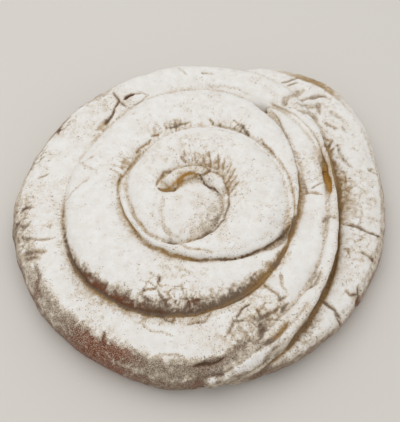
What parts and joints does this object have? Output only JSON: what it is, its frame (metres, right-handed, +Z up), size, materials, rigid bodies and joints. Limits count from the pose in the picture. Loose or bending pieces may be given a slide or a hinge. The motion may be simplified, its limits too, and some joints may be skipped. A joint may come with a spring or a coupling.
{
  "type": "ensaimada",
  "caption": "Round, flat sweet pastry: a rope of flaky dough coiled into a spiral, baked and dusted with icing sugar.",
  "frame": {"origin": "middle of the loaf's outline, on the flat base it was baked and stands on", "axes": "+Z up, through the coil; -Y towards the side where the free end runs out, +X towards the free end's side"},
  "size_m": [0.2862, 0.2828, 0.0514],
  "materials": {
    "sugared_crust": null
  },
  "bodies": {
    "root": {"ensaimada": "sugared_crust"}
  },
  "joints": []
}
